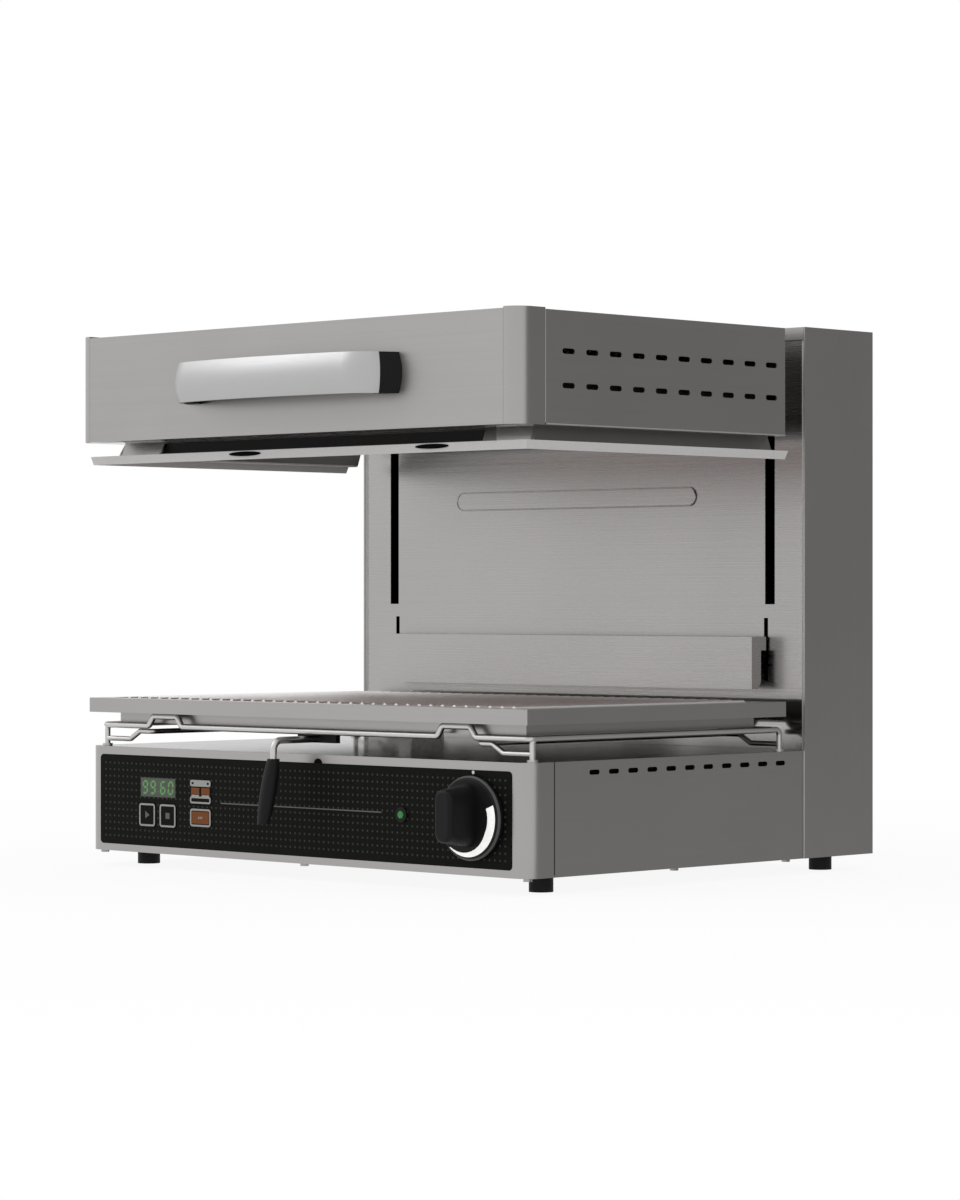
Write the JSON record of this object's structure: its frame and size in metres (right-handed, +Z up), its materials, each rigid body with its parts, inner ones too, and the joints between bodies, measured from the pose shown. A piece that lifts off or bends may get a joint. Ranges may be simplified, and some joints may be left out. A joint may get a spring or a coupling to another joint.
{
  "type": "lift salamander grill",
  "caption": "Countertop electric salamander grill: heating hood sliding on a rear column over a drip pan with grid, above a control base with knob, keys and display.",
  "frame": {"origin": "centre of the footprint, on the surface that the feet stand on", "axes": "+X to the right seen from the front, +Y to the back (the control panel faces -Y), +Z up"},
  "size_m": [0.6, 0.545, 0.519],
  "materials": {
    "stainless": "fine satin brushed sheet",
    "polished_steel": "bright rolled sheet",
    "bright_wire": "bright wire",
    "ground_rod": "ground and plated",
    "black_enamel": "matt black",
    "foot_rubber": "matt",
    "fascia_black": "printed film, dotted",
    "display_window": "tinted window",
    "key_black": "printed key",
    "lamp_ring": "moulded ring",
    "lamp_green": "clear tinted lens",
    "knob_black": "moulded, satin",
    "grip_black": "moulded, satin",
    "board_green": "laminate",
    "moulded_grey": "moulded",
    "transformer_iron": "varnished core",
    "stud_brass": "turned",
    "fibre_board": "pressed mineral fibre",
    "quartz": "ruby quartz",
    "steatite": "unglazed",
    "satin_aluminium": "satin anodised"
  },
  "bodies": {
    "root": {"bottom_tray": "stainless", "base_front_frame": "stainless", "base_side_left": "stainless", "base_side_right": "stainless", "deck": "stainless", "column_side_left": "stainless", "column_side_right": "stainless", "column_front_panel": "stainless", "column_rear_cover": "stainless", "column_top_cap": "stainless", "cross_members": "stainless", "base_screws": "stainless", "guide_rods": "ground_rod", "gas_spring_cylinders": "black_enamel", "feet": "foot_rubber", "control_fascia": "fascia_black", "display_module": "display_window", "indicator_lamp": "lamp_ring", "lamp_lens": "lamp_green", "control_board": "board_green", "power_regulator": "moulded_grey", "contactor": "moulded_grey", "terminal_block": "moulded_grey", "plate_switch": "moulded_grey", "cable_gland": "moulded_grey", "transformer": "transformer_iron", "bonding_stud": "stud_brass"},
    "hood": {"hood_front_panel": "stainless", "hood_corners": "stainless", "hood_side_left": "stainless", "hood_side_right": "stainless", "hood_top_cover": "stainless", "hood_floor": "stainless", "reflector": "polished_steel", "insulation_slab": "fibre_board", "quartz_tubes": "quartz", "tube_holders": "steatite", "skirt_wall": "stainless", "skirt_ring": "stainless", "air_baffle": "black_enamel", "handle_bow": "satin_aluminium", "handle_ends": "grip_black", "carriage_arms": "stainless", "carriage_crossbar": "stainless", "slide_bushes": "stud_brass", "gas_spring_rods": "ground_rod"},
    "knob": {"knob_skirt": "knob_black", "knob_grip": "knob_black", "knob_shaft": "stainless"},
    "start_key": {"start_key": "key_black"},
    "stop_key": {"stop_key": "key_black"},
    "zone_key": {"zone_key": "key_black"},
    "hold_key": {"hold_key": "key_black"},
    "sensor_bar": {"plate_sensor_bar": "stainless"},
    "stand": {"wire_stand": "bright_wire", "lever_bracket": "black_enamel", "lever_rod": "bright_wire", "lever_grip": "grip_black"},
    "pan": {"drip_pan": "stainless"},
    "grid": {"cooking_grid": "bright_wire"}
  },
  "joints": [
    {"name": "hood_lift", "type": "slide", "parent": "root", "child": "hood", "axis": [0, 0, 1], "range_m": [-0.18, 0]},
    {"name": "knob_turn", "type": "hinge", "parent": "root", "child": "knob", "pos_m": [0.2315, -0.2313, 0.0663], "axis": [0, 1, 0], "range_deg": [0, 285]},
    {"name": "start_press", "type": "slide", "parent": "root", "child": "start_key", "axis": [0, 1, 0], "range_m": [0, 0.0008], "stiffness_N_per_m": 900, "springref_m": -0.0006},
    {"name": "stop_press", "type": "slide", "parent": "root", "child": "stop_key", "axis": [0, 1, 0], "range_m": [0, 0.0008], "stiffness_N_per_m": 900, "springref_m": -0.0006},
    {"name": "zone_press", "type": "slide", "parent": "root", "child": "zone_key", "axis": [0, 1, 0], "range_m": [0, 0.0008], "stiffness_N_per_m": 900, "springref_m": -0.0006},
    {"name": "hold_press", "type": "slide", "parent": "root", "child": "hold_key", "axis": [0, 1, 0], "range_m": [0, 0.0008], "stiffness_N_per_m": 900, "springref_m": -0.0006},
    {"name": "sensor_press", "type": "slide", "parent": "root", "child": "sensor_bar", "axis": [0, 1, 0], "range_m": [0, 0.0025], "stiffness_N_per_m": 1500, "springref_m": -0.002},
    {"name": "stand_lift", "type": "slide", "parent": "root", "child": "stand", "axis": [0, 0, 1], "range_m": [0, 0.012]},
    {"name": "pan_lift", "type": "slide", "parent": "stand", "child": "pan", "axis": [0, 0, 1], "range_m": [0, 0.014]},
    {"name": "grid_lift", "type": "slide", "parent": "pan", "child": "grid", "axis": [0, 0, 1], "range_m": [0, 0.014]}
  ]
}
